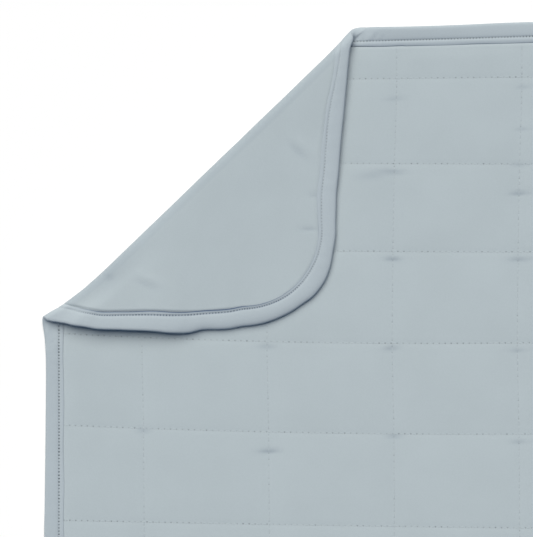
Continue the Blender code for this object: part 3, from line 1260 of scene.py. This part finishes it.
@dataclass
class EdgeBinding:
    """The strip that is folded over the raw edges and topstitched on both faces.

    Attributes:
        lay: How the blanket lies.
        finish: The cloth.
        width: Width of the strip on each face.
        cloth: Thickness of the strip.
        base: Height of its upper face.
        puff: How far the edge rolls up between the cut edge and the topstitching.
        stitch_drop: Depth of the trough that the topstitching pulls in.
        stitch_reach: Reach of that trough.
        ridge: Height and reach of the ridge between the topstitching and the inner edge.
        lip: How far the inner edge turns down, and over which distance.
        ripple: Height of the small ripples of the roll.
        ripple_pitch: Sets their pitches.
        ripple_place: Inset of their middle, and their reach.
        ripple_seed: Picks the ripples.
        lean_fade: Distance over which the front's lean grows from the cut edge, and where in
            that step it starts.
        back_base: Height of the back's face on the flap before folding, without its relief.
        back_trough: Share of the topstitching's trough in the back that lies on the floor.
        round_edge: How far in the edge's rounding reaches.
        flap_mix: Taken on the flap from the power, 1, to which the front's share round the edge
            is raised, so that its height reaches further round.
        step: Distance between sections.
        fine_step: Distance between sections by the turned corner.
        fine_run: Runs between which the sections lie closer.
        stitch_range: Insets of the topstitching of the two sections that all others are mixed of.
        lip_lines: Lines of a section beside the lip, from a cloth's thickness inside it.
        stitch_lines: Lines of a section beside the topstitching.
        roll_from: How far outside the topstitching the evenly spaced lines of the roll begin.
        roll_lines: Their number.
        turn_lines: Number of lines round the edge.
        inner_ends: How far the inner face ends inside the lip, and inside the cut edge.
        waver: How far the inner edge wavers.
        waver_pitch: Sets the pitches of its waves.
        waver_count: Number of waves.
        waver_seed: Picks the waves.
        lip_fade: Distance past the topstitching from which the inner edge's own line shows, and
            the distance to where it shows in full.
        outline_rows: Run round the edge, and how far the cut edge is pushed out there.
        stitch_rows: Run, inset of the topstitching.
        lip_rows: Run, change of the strip's width on the front and on the back.
        lean_rows: Run, how much higher the front's roll is at the edge than at the topstitching.
        droop_rows: Run, how far the back's roll comes down at the cut edge of the flap.
        painted_tone_rows: Run, how much painted shade darkens the strip seen from above, the least
            that it gets.
        pull_rows: Run, how open the needle holes are on the front and on the back, which sets the
            strength of their painted shade.
        shade_rows: Run, then the strength of the painted shade at the front's lip and topstitching,
            and at the back's.
        shade_reach: Reach of the painted shade at the lip, and at the topstitching.
        creases: Creases of the strip, listed by their run and inset.
        crease_shade: Strength of the painted shade in a crease's trough for each millimetre of its
            depth.
    """

    lay: Lay
    finish: KnitFinish
    width: float = 15.8
    cloth: float = 0.7
    base: float = 4.45
    puff: float = 0.5
    stitch_drop: float = 0.32
    stitch_reach: float = 0.8
    ridge: tuple[float, float] = (0.16, 1.2)
    lip: tuple[float, float] = (0.3, 0.6)
    ripple: float = 0.06
    ripple_pitch: float = 9.0
    ripple_place: tuple[float, float] = (8.0, 4.5)
    ripple_seed: int = 5
    lean_fade: tuple[float, float] = (2.4, 0.3)
    back_base: float = 0.1
    back_trough: float = 0.4
    round_edge: float = 1.1
    flap_mix: float = 0.2
    step: float = 3.4
    fine_step: float = 1.5
    fine_run: tuple[float, float] = (1790.0, 2340.0)
    stitch_range: tuple[float, float] = (10.0, 14.0)
    lip_lines: tuple[float, ...] = (0.7, 0.35, 0.0)
    stitch_lines: tuple[float, ...] = (1.3, 0.9, 0.45, 0.0, -0.45, -0.9, -1.8)
    roll_from: float = 3.4
    roll_lines: int = 6
    turn_lines: int = 9
    inner_ends: tuple[float, float] = (0.2, 2.0)
    waver: float = 0.35
    waver_pitch: float = 60.0
    waver_count: int = 9
    waver_seed: int = 11
    lip_fade: tuple[float, float] = (0.6, 1.6)
    outline_rows: Table = (
        (1650.0, 0.0), (1720.0, 0.7), (1770.0, 0.2), (1800.0, 0.3), (1815.0, 0.5),
        (1830.0, 0.8), (1838.0, 0.6), (1843.0, -0.3), (1848.0, -0.8), (1852.0, 0.6),
        (1856.0, 0.8), (1861.0, -1.0), (1868.0, -2.1), (1880.0, -1.7), (1895.0, -0.4),
        (1920.0, 0.9), (1960.0, 0.3), (1988.0, 0.4), (2010.0, -0.7), (2028.0, -1.4),
        (2042.0, 0.4), (2055.0, 1.5), (2066.0, 1.3), (2080.0, -0.6), (2097.0, -1.2),
        (2114.0, -0.6), (2132.0, 0.0), (2148.0, -0.2), (2164.0, -0.9), (2179.0, 1.5),
        (2192.0, 1.8), (2204.0, 1.1), (2222.0, 0.2), (2245.0, -0.8), (2266.0, -1.0),
        (2280.0, -0.9), (2290.0, 0.5), (2297.0, 2.1), (2303.0, 2.6), (2308.0, 1.1),
        (2313.0, 0.5), (2320.0, 0.2), (2326.0, 0.0), (2336.0, -0.5), (2350.0, -0.6),
        (2386.0, -0.3), (2442.0, 0.4), (2470.0, 0.9), (2560.0, 0.6), (2700.0, 0.0),
    )
    stitch_rows: Table = (
        (0.0, 11.6), (1400.0, 11.2), (1780.0, 11.0), (1850.0, 10.9), (1900.0, 11.8),
        (1960.0, 12.0), (2010.0, 12.3), (2060.0, 13.2), (2100.0, 13.7), (2160.0, 13.7),
        (2200.0, 12.6), (2285.0, 12.2), (2330.0, 11.3), (3000.0, 11.4), (3423.0, 11.6),
    )
    lip_rows: Table = (
        (0.0, 0.0, 0.0), (1803.0, 0.1, 0.0), (1808.0, -0.5, 0.0), (1880.0, -0.5, 0.0),
        (2060.0, -0.5, 0.1), (2100.0, -0.5, 0.6), (2165.0, -0.5, 0.6), (2200.0, -0.5, -0.4),
        (2270.0, -0.6, -0.4), (2300.0, -0.6, 0.0), (3000.0, -0.6, 0.0), (3423.0, 0.0, 0.0),
    )
    lean_rows: Table = (
        (0.0, 0.2), (1400.0, 0.45), (1740.0, 0.5), (1790.0, 1.4), (1830.0, 1.0), (1860.0, 0.0),
        (2290.0, 0.0), (2340.0, 0.3), (3423.0, 0.2),
    )
    droop_rows: Table = (
        (1840.0, 0.0), (1880.0, 0.8), (2030.0, 1.0), (2080.0, 1.7), (2160.0, 1.7),
        (2185.0, 1.0), (2205.0, 0.2), (2230.0, 0.0),
    )
    painted_tone_rows: Table = (
        (0.0, 0.02), (1400.0, 0.01), (1740.0, 0.015), (1790.0, 0.015), (1850.0, 0.035),
        (2040.0, 0.03), (2100.0, 0.0), (2280.0, 0.0), (2310.0, 0.02), (2340.0, 0.04),
        (3000.0, 0.03), (3423.0, 0.02),
    )
    pull_rows: Table = (
        (0.0, 0.8, 0.8), (1835.0, 0.9, 0.0), (1870.0, 0.9, 0.1), (1930.0, 0.9, 0.5),
        (2050.0, 0.9, 0.6), (2110.0, 0.9, 1.0), (2240.0, 0.9, 1.0), (2285.0, 0.9, 0.0),
        (2330.0, 1.7, 0.0), (2450.0, 1.45, 0.2), (2560.0, 1.2, 0.6), (3000.0, 0.9, 0.6),
        (3423.0, 0.8, 0.8),
    )
    shade_rows: Table = (
        (0.0, 0.2, 0.05, 0.2, 0.1),
        (1400.0, 0.6, 0.05, 0.2, 0.1),
        (1850.0, 0.6, 0.05, 0.0, 0.0),
        (1900.0, 0.2, 0.1, 0.1, 0.05),
        (2020.0, 0.2, 0.1, 0.25, 0.15),
        (2060.0, 0.2, 0.1, 0.5, 0.25),
        (2100.0, 0.2, 0.1, 1.0, 0.8),
        (2120.0, 0.2, 0.1, 1.15, 0.75),
        (2250.0, 0.2, 0.1, 1.0, 0.7),
        (2275.0, 0.2, 0.1, 0.4, 0.2),
        (2290.0, 0.1, 0.0, 0.0, 0.0),
        (3000.0, 0.0, 0.0, 0.2, 0.1),
        (3423.0, 0.2, 0.05, 0.2, 0.1),
    )
    shade_reach: tuple[float, float] = (0.7, 0.45)
    creases: tuple[Crease, ...] = ()
    crease_shade: float = 0.3

    def stitch(self, run: Array) -> Array:
        """Return the inset of the topstitching at a run round the edge."""
        return read_table(self.stitch_rows, run)

    def trough(self, run: Array, inset: Array) -> Array:
        """Return the depth of the bell that the topstitching pulls in."""
        return self.stitch_drop * hump(inset - self.stitch(run), self.stitch_reach)

    def profile(self, run: Array, inset: Array) -> Array:
        """Return the relief across the strip.

        A rounded roll from the edge to the topstitching, less a narrow trough there, plus a low
        ridge between the topstitching and the inner edge, which turns down at its lip. The roll
        is the root of half a wave.

        Args:
            run: Distance round the edge.
            inset: Distance inside it.

        Returns:
            Heights in millimetres.
        """
        stitch = self.stitch(run)
        roll = self.puff * np.sqrt(np.clip(np.sin(math.pi * np.clip(inset / stitch, 0, 1)), 0, 1))
        height, reach = self.ridge
        ridge = height * hump(inset - 0.5 * (stitch + self.width), reach)
        drop, reach = self.lip
        lip = drop * smooth((inset - self.width + reach) / reach)
        return roll - self.trough(run, inset) + ridge - lip

    def outer(self, flat: Array, run: Array, inset: Array, side: Side) -> Array:
        """Return the height of the strip's outer face before folding.

        Args:
            flat: Points of the flat cut.
            run: Their distance round the edge.
            inset: Their distance inside the edge.
            side: The face.

        Returns:
            Heights in millimetres. The back face is flat on the floor, and rolled on the flap.
        """
        place, reach = self.ripple_place
        waves = soft_waves(run, self.ripple_seed, self.ripple_pitch)
        ripple = self.ripple * waves * hump(inset - place, reach)
        relief = self.profile(run, inset) + ripple
        relief += crease_relief(self.creases, np.column_stack((run, inset)))
        if side is Side.FRONT:
            rest = np.clip(1.0 - inset / self.stitch(run), 0.0, 1.0)
            reach, start = self.lean_fade
            lean = read_table(self.lean_rows, run) * rest * smooth(inset / reach + start)
            return self.base + relief + lean
        flap = self.lay.flap_share(flat)
        slope = np.clip(1.0 - inset / self.width, 0.0, 1.0)
        droop = read_table(self.droop_rows, run) * slope**4
        lying = (1.0 - flap) * self.back_trough * self.trough(run, inset)
        return flap * (self.back_base - relief + droop) + lying

    def place_inset(self, run: Array, inset: Array, side: Side) -> Array:
        """Return the true inset of a nominal one, by the uneven cut edge and inner edge.

        The cut edge's push fades out to the inner edge, and the inner edge's own change of width
        and waver fade in past the topstitching.

        Args:
            run: Distance round the edge.
            inset: Nominal distance inside it.
            side: The face.

        Returns:
            Insets in millimetres.
        """
        column = 1 if side is Side.FRONT else 2
        push = read_table(self.outline_rows, run) * smooth(1.0 - inset / self.width)
        seed = self.waver_seed + column
        waves = soft_waves(run, seed, self.waver_pitch, self.waver_count)
        change = self.waver * waves + read_table(self.lip_rows, run, column)
        start, reach = self.lip_fade
        return inset - push + change * smooth((inset - self.stitch(run) - start) / reach)

    def shade(self, run: Array, inset: Array, side: Side) -> Array:
        """Return the strength of the painted shade, between the strip's painted tone and 1.

        The greater of two narrow bells, over the lip and over the topstitching, plus the troughs
        of the creases.

        Args:
            run: Distance round the edge.
            inset: Distance inside it.
            side: The face.

        Returns:
            One value for each point.
        """
        first = 1 if side is Side.FRONT else 3
        lip_reach, seam_reach = self.shade_reach
        lip = hump(inset - self.width, lip_reach)
        lip = read_table(self.shade_rows, run, first) * lip
        seam = hump(inset - self.stitch(run), seam_reach)
        seam = read_table(self.shade_rows, run, first + 1) * seam
        troughs = np.maximum(-crease_relief(self.creases, np.column_stack((run, inset))), 0.0)
        # Painted shade of the gaps at the lip and the topstitching, and of the creases' troughs.
        gap = np.maximum(lip, seam) + self.crease_shade * troughs
        return np.clip(gap, read_table(self.painted_tone_rows, run), 1.0)

    def section(self, stitch: float) -> tuple[Array, Array, Array]:
        """Return the section's insets, its side and its depth below the outer face.

        The points go from the front lip out to the cut edge, round it, in along the back, and
        return on the inner face.

        Args:
            stitch: Inset of the topstitching, round which points lie close.

        Returns:
            Three arrays of one length.
        """
        leg = np.concatenate(
            (
                np.array(self.lip_lines) + self.width - self.cloth,
                np.array(self.stitch_lines) + stitch,
                np.linspace(stitch - self.roll_from, self.round_edge, self.roll_lines),
            )
        )
        turn = np.linspace(0.0, math.pi, self.turn_lines)[1:-1]
        lip_gap, edge_gap = self.inner_ends
        inner = np.array((self.width - lip_gap, stitch, 0.5 * stitch, edge_gap))
        edge = self.round_edge * (1.0 - np.sin(turn))
        insets = (leg, edge, leg[::-1], inner, inner[::-1])
        front, lining = np.ones(len(leg)), np.ones(len(inner))
        sides = (front, np.cos(turn), -front, -lining, lining)
        depths = (np.zeros(2 * len(leg) + len(turn)), np.full(2 * len(inner), self.cloth))
        return np.concatenate(insets), np.concatenate(sides), np.concatenate(depths)

    def stations(self) -> Array:
        """Return the runs of the sections, closer together by the turned corner.

        Returns:
            Rising runs, spaced evenly in each of three stretches.
        """
        ends = (0.0, *self.fine_run, self.lay.cut.girth)
        steps = (self.step, self.fine_step, self.step)
        parts = [
            np.linspace(low, high, round((high - low) / step), endpoint=False)
            for low, high, step in zip(ends[:-1], ends[1:], steps)
        ]
        return np.concatenate(parts)

    def build(self) -> bpy.types.Object:
        """Make the strip.

        Each point's height lies between those of the strip's two outer faces, by its place round
        the section, and the inner points lie a cloth's thickness inside.

        Returns:
            The binding as one closed strip round the whole blanket.
        """
        runs = self.stations()
        count = len(runs)
        low, high = self.stitch_range
        (inset, side, depth), (far_inset, _, _) = self.section(low), self.section(high)
        share = ((self.stitch(runs) - low) / (high - low))[:, None]
        inset = inset + (far_inset - inset) * share
        run = np.broadcast_to(runs[:, None], inset.shape).ravel()
        side = np.broadcast_to(side, inset.shape).ravel()
        depth = np.broadcast_to(depth, inset.shape).ravel()
        inset = inset.ravel()
        flap = self.lay.flap_share(self.lay.cut.rim(run, inset))
        mix = (0.5 + 0.5 * side) ** (1.0 - self.flap_mix * flap)
        faces = (Side.BACK, Side.FRONT)
        back, front = [self.place_inset(run, inset, face) for face in faces]
        flat = self.lay.cut.rim(run, back + (front - back) * mix)
        back, front = [self.outer(flat, run, inset, face) for face in faces]
        height = back + (front - back) * mix - np.sign(side) * depth
        points = self.lay.place(flat, height)
        quads = grid_faces(count, len(inset) // count, closed=(True, True)).tolist()
        uv = np.column_stack((run, inset - self.stitch(run))) * MM
        piece = add_mesh("binding_strip", points, quads, self.finish.build(), uv)
        shades = [self.shade(run, inset, face) for face in faces]
        pulls = [read_table(self.pull_rows, run, column) for column in (2, 1)]
        # Painted shade along the lip, the topstitching and the creases, and over darker runs of the
        # strip.
        add_values(piece, "painted_shade", np.where(side < 0.0, *shades))
        add_values(piece, "pull", np.where(side < 0.0, *pulls))
        return piece


@dataclass(frozen=True)
class Thread:
    """The form of one stitch, a short thread that dips at both ends.

    Attributes:
        length: Length of the stitch that shows.
        radius: Radius of the thread.
        dip: How far its ends go down into the cloth.
        taper: Share of its radius that it loses at its ends.
        rings: Sections along the stitch.
        sides: Sides of a section, five, as its end faces need.
    """

    length: float
    radius: float
    dip: float
    taper: float = 0.45
    rings: int = 4
    sides: int = 5

    def points(self) -> tuple[Array, Array, Array]:
        """Return a stitch's points.

        Each section is a circle whose radius tapers, and which dips, with the square of its
        distance from the middle.

        Returns:
            Each point's distance along, across and above the middle of a stitch.
        """
        along = np.linspace(-0.5, 0.5, self.rings)[:, None]
        angle = 2.0 * math.pi * np.arange(self.sides)[None, :] / self.sides
        taper = 1.0 - self.taper * np.square(2.0 * along)
        across = self.radius * taper * np.cos(angle)
        above = self.radius * taper * np.sin(angle) - self.dip * np.square(2.0 * along)
        along, across, above = np.broadcast_arrays(along * self.length, across, above)
        return along.ravel(), across.ravel(), above.ravel()

    def faces(self, count: int) -> list[list[int]]:
        """Return the faces of so many stitches, each a tube with both ends closed.

        An end is a four-sided face and a triangle. The triangle is worked out with its last
        corner doubled, and the double is left out.

        Args:
            count: Number of stitches.

        Returns:
            Point numbers of each face.
        """
        tube = grid_faces(self.rings, self.sides, closed=(False, True))
        ends = np.array(((0, 4, 3, 3), (0, 3, 2, 1), (0, 1, 2, 3), (0, 3, 4, 4)))
        ends[2:] += (self.rings - 1) * self.sides
        starts = self.rings * self.sides * np.arange(count)[:, None, None]
        quads = (np.concatenate((tube, ends))[None] + starts).reshape(-1, 4).tolist()
        return [face[:3] if face[2] == face[3] else face for face in quads]


@dataclass
class Topstitching:
    """The row of stitches along the binding, on one of its faces.

    Attributes:
        binding: The strip that it holds.
        side: The face.
        pitch: Distance between needle holes.
        thread: The form of a stitch.
        rise: Height of the thread's middle over the cloth.
        flap_depth: How far the back's stitches may stand out on the flap.
        floor_room: How much less far they may stand out where the blanket lies.
    """

    binding: EdgeBinding
    side: Side
    pitch: float = 2.5
    thread: Thread = Thread(1.9, 0.24, 0.22)
    rise: float = 0.12
    flap_depth: float = 0.6
    floor_room: float = 0.05

    def build(self, material: bpy.types.Material) -> bpy.types.Object:
        """Make the row.

        Args:
            material: The thread.

        Returns:
            All the stitches of this face as one piece.
        """
        cut = self.binding.lay.cut
        count = round(cut.girth / self.pitch)
        middles = cut.girth * (np.arange(count) + 0.5) / count
        along, across, above = self.thread.points()
        run = (middles[:, None] + along).ravel() % cut.girth
        centre = self.binding.stitch(run)
        inset = self.binding.place_inset(run, centre, self.side) + np.tile(across, count)
        flat = cut.rim(run, inset)
        base = self.binding.outer(flat, run, centre, self.side)
        height = base + self.side.value * (np.tile(above, count) + self.rise)
        if self.side is Side.BACK:
            lying = 1.0 - self.binding.lay.flap_share(flat)
            height = np.maximum(height, lying * self.floor_room - self.flap_depth)
        points = self.binding.lay.place(flat, height)
        name = "topstitching_" + self.side.name.lower()
        return add_mesh(name, points, self.thread.faces(count), material)


@dataclass
class QuiltingStitches:
    """The stitches of one family of quilting seams.

    Attributes:
        front: The quilted panel.
        family: Which seams.
        thread: The form of a stitch.
        rise: Height of the thread's middle over the cloth.
        ends: Inset from the cut edge at which the seams go under the binding.
    """

    front: QuiltedFront
    family: Seam
    thread: Thread = Thread(3.3, 0.2, 0.25)
    rise: float = 0.1
    ends: float = 14.5

    def build(self, material: bpy.types.Material) -> bpy.types.Object:
        """Make the stitches.

        Args:
            material: The thread.

        Returns:
            All the stitches of this family as one piece.
        """
        cut = self.front.lay.cut
        quilting = self.front.quilting
        size = cut.length if self.family is Seam.ALONG else cut.width
        half_count = int(0.5 * size / quilting.pitch)
        steps = (np.arange(-half_count, half_count) + 0.5) * quilting.pitch
        place, line = np.meshgrid(steps, quilting.seams(self.family))
        middles = np.stack((line.ravel(), place.ravel()), axis=1)
        if self.family is Seam.ACROSS:
            middles = middles[:, ::-1]
        middles = middles[cut.inset(middles) > self.ends]
        along, across, above = self.thread.points()
        offset = np.stack((across, along), axis=1)
        if self.family is Seam.ACROSS:
            offset = offset[:, ::-1] * np.array((1.0, -1.0))
        flat = (middles[:, None] + offset[None]).reshape(-1, 2)
        base = np.repeat(self.front.height(middles), len(along))
        height = base + np.tile(above, len(middles)) + self.rise
        points = self.front.lay.place(flat, height)
        name = "quilting_" + self.family.name.lower()
        return add_mesh(name, points, self.thread.faces(len(middles)), material)


@dataclass
class Studio:
    """The floor, the light and the camera.

    Attributes:
        view_middle: The point of the plane that the photograph's middle shows, in metres.
        view_width: Width of the plane that the photograph shows, in metres.
        distance: The camera's height, in metres.
        sensor: The camera's sensor width, in millimetres.
        far: How far the camera sees, in metres.
        floor_half: Half the floor's size, in metres.
        floor_drop: How far the floor lies under the cloth, in metres.
        floor_tone: Brightness of the floor's paint.
        sky: Colour of the sky's low, bluish light.
        sky_strength: Strength of that light.
        key_strength: Strength of the broad light.
        key_colour: Its colour, a little warm.
        key_width: How wide it looks from the blanket, in degrees.
        key_tilt: How far it is tilted about the line across and the line along, in degrees.
    """

    view_middle: tuple[float, float] = (-0.2017, 0.3104)
    view_width: float = 0.4264
    distance: float = 3.0
    sensor: float = 36.0
    far: float = 20.0
    floor_half: float = 4.0
    floor_drop: float = 0.0003
    floor_tone: float = 0.93
    sky: Colour = (0.5, 1.0, 1.9)
    sky_strength: float = 0.09
    key_strength: float = 3.66
    key_colour: Colour = (1.045, 1.0, 0.916)
    key_width: float = 58.0
    key_tilt: tuple[float, float] = (-31.0, -9.0)

    def add_floor(self) -> bpy.types.Object:
        """Add a plain pale floor just under the cloth.

        Returns:
            The floor.
        """
        half = self.floor_half
        corners = np.array(((-half, -half), (half, -half), (half, half), (-half, half)))
        points = np.column_stack((corners, np.full(4, -self.floor_drop)))
        graph = Graph("studio_floor")
        colour = toned((1.0, 1.0, 1.0), self.floor_tone)
        values = {"Base Color": colour, "Roughness": 1.0, "Specular IOR Level": 0.0}
        graph.feed_all(graph.shader, values)
        floor = add_mesh("floor", points, [[0, 1, 2, 3]], graph.material, corners)
        return floor

    def add_light(self) -> None:
        """Add a low bluish sky and one broad soft light from the top of the picture."""
        scene = bpy.context.scene
        world = bpy.data.worlds.new("studio_sky")
        world.use_nodes = True
        sky = world.node_tree.nodes["Background"]
        sky.inputs["Color"].default_value = toned(self.sky, 1.0)
        sky.inputs["Strength"].default_value = self.sky_strength
        scene.world = world
        light = bpy.data.lights.new("soft_key", "SUN")
        light.energy = self.key_strength
        light.color = self.key_colour
        light.angle = math.radians(self.key_width)
        key = bpy.data.objects.new("soft_key", light)
        key.rotation_euler = (*map(math.radians, self.key_tilt), 0.0)
        scene.collection.objects.link(key)
        scene.view_settings.view_transform = "Standard"

    def add_camera(self) -> None:
        """Add the camera, straight above and looking down, with the long side of the cloth up."""
        lens = bpy.data.cameras.new("camera")
        lens.sensor_fit = "HORIZONTAL"
        lens.sensor_width = self.sensor
        lens.lens = self.sensor * self.distance / self.view_width
        lens.clip_end = self.far
        camera = bpy.data.objects.new("camera", lens)
        camera.location = (*self.view_middle, self.distance)
        bpy.context.scene.collection.objects.link(camera)
        bpy.context.scene.camera = camera

    def build(self) -> list[bpy.types.Object]:
        """Set up the whole studio.

        Returns:
            Its one piece, the floor.
        """
        floor = self.add_floor()
        self.add_light()
        self.add_camera()
        return [floor]


# Puckers where the quilting's seams cross, and soft creases of the front.
FRONT_CREASES = (
    Crease((-101.0, 451.0), 4.0, 8.0, 1.7, -0.35),
    Crease((-101.0, 389.0), -3.0, 9.0, 1.9, -0.5),
    Crease((-118.0, 386.0), 8.0, 12.0, 4.0, -0.3),
    Crease((0.0, 372.0), 2.0, 7.0, 1.6, -0.75),
    Crease((0.0, 395.0), 0.0, 7.0, 2.0, -0.3),
    Crease((-100.0, 318.0), -4.0, 6.0, 1.8, -0.75),
    Crease((1.0, 318.0), 0.0, 8.0, 2.0, -0.55),
    Crease((-200.0, 248.0), 0.0, 7.0, 1.8, -0.4),
    Crease((-101.0, 248.0), 3.0, 6.0, 1.8, -0.55),
    Crease((0.0, 246.0), -2.0, 6.0, 1.8, -0.4),
    Crease((-300.0, 178.0), 0.0, 6.0, 2.2, -0.4),
    Crease((-200.0, 165.0), 3.0, 8.0, 1.7, -0.8),
    Crease((-100.0, 178.0), 0.0, 6.0, 1.8, -0.5),
    Crease((0.0, 174.0), 0.0, 6.0, 1.8, -0.4),
    Crease((1.0, 460.0), 0.0, 5.0, 1.6, -0.35),
    Crease((1.0, 425.0), 0.0, 5.0, 1.5, -0.35),
)
# Creases of the flap, which pull from the binding.
FLAP_CREASES = (
    Crease((-233.0, 476.0), 127.0, 14.0, 2.6, 0.45),
    Crease((-238.0, 473.0), 127.0, 12.0, 2.6, -0.35),
    Crease((-300.0, 487.0), 90.0, 7.0, 1.8, -0.5),
    Crease((-273.0, 492.0), 100.0, 5.0, 1.8, -0.35),
    Crease((-338.0, 352.0), 110.0, 14.0, 3.0, 0.5),
    Crease((-342.0, 349.0), 110.0, 12.0, 2.6, -0.35),
    Crease((-337.0, 311.0), 90.0, 4.0, 3.0, -0.4),
)
# Wrinkles of the binding at both ends of the fold, by run and inset.
STRIP_CREASES = (
    Crease((1841.0, 2.5), 45.0, 8.0, 7.0, 0.5),
    Crease((1843.0, 7.5), 43.0, 3.5, 1.2, -0.8),
    Crease((1838.0, 9.0), 50.0, 3.0, 1.1, -0.5),
    Crease((1829.0, 7.5), 60.0, 4.0, 1.3, -0.5),
    Crease((1823.0, 8.5), 50.0, 4.0, 1.2, -0.35),
    Crease((2314.0, 2.0), 135.0, 7.0, 6.0, 1.2),
    Crease((2322.0, 6.0), 122.0, 4.0, 1.0, -0.45),
    Crease((2326.0, 4.0), 100.0, 4.0, 1.0, -0.3),
)


@dataclass
class Blanket:
    """The whole blanket: three cloths and their sewing.

    Attributes:
        lay: How it lies.
        quilting: Its quilting seams.
        cloth: Colour of the front and the back.
        trim: Colour of the binding.
        edge_holes: Radius in metres, strength and evenness of the topstitching's needle holes.
        strip_width: Width of the binding before it is folded, in metres.
    """

    lay: Lay = Lay()
    quilting: Quilting = Quilting()
    cloth: Colour = (0.425, 0.487, 0.517)
    trim: Colour = (0.424, 0.485, 0.524)
    edge_holes: tuple[float, float, float] = (0.00068, 0.85, 0.5)
    strip_width: float = 0.036

    def jerseys(self) -> tuple[KnitFinish, KnitFinish, KnitFinish]:
        """Return the finishes of the front, the back and the binding.

        The binding's one row of holes lies on its topstitching, a metre from the next, and its
        holes are spaced so that a whole number goes round the blanket.

        Returns:
            The three finishes.
        """
        holes = self.quilting.holes()
        front = KnitFinish("front_jersey", self.cloth, holes=holes, painted_shade=True)
        back = KnitFinish("back_jersey", self.cloth, painted_shade=True)
        girth = self.lay.cut.girth * MM
        pitch = girth / round(girth / (Topstitching.pitch * MM))
        row = Holes(1, 1.0, 0.0, pitch, *self.edge_holes)
        strip = KnitFinish("binding_jersey", self.trim, holes=(row,), painted_shade=True, pulled=True)
        return front, back, strip

    def build(self) -> list[bpy.types.Object]:
        """Make all the pieces, attach them to the body, and hide the solids that they stand for.

        Returns:
            The pieces.
        """
        lay = self.lay
        front_jersey, back_jersey, binding_jersey = self.jerseys()
        front = QuiltedFront(lay, front_jersey, self.quilting, creases=FRONT_CREASES)
        backing = PlainBacking(lay, back_jersey, creases=FLAP_CREASES)
        binding = EdgeBinding(lay, binding_jersey, creases=STRIP_CREASES)
        thread = ThreadFinish().build()
        front_piece, backing_piece, binding_piece = front.build(), backing.build(), binding.build()
        quilting = [QuiltingStitches(front, family).build(thread) for family in Seam]
        topstitching = [Topstitching(binding, side).build(thread) for side in Side]
        for pieces, node, name in (
            ([front_piece, *quilting], "quilted_front", "quilted_cloth"),
            ([backing_piece], "plain_backing", "backing_cloth"),
            ([binding_piece, *topstitching], "edge_binding", "binding_cloth"),
        ):
            for piece in pieces:
                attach(piece, BODY)
            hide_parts(node)
        strip = (lay.cut.girth * MM, self.strip_width)
        return [front_piece, backing_piece, binding_piece, *quilting, *topstitching]


def main() -> None:
    """Build the studio and the blanket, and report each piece."""
    logging.basicConfig(level=logging.INFO, format="%(name)s: %(message)s")
    for part in (Studio(), Blanket()):
        for piece in part.build():
            LOG.info("%s: %d faces", piece.name, len(piece.data.polygons))


if __name__ == "__main__":
    main()
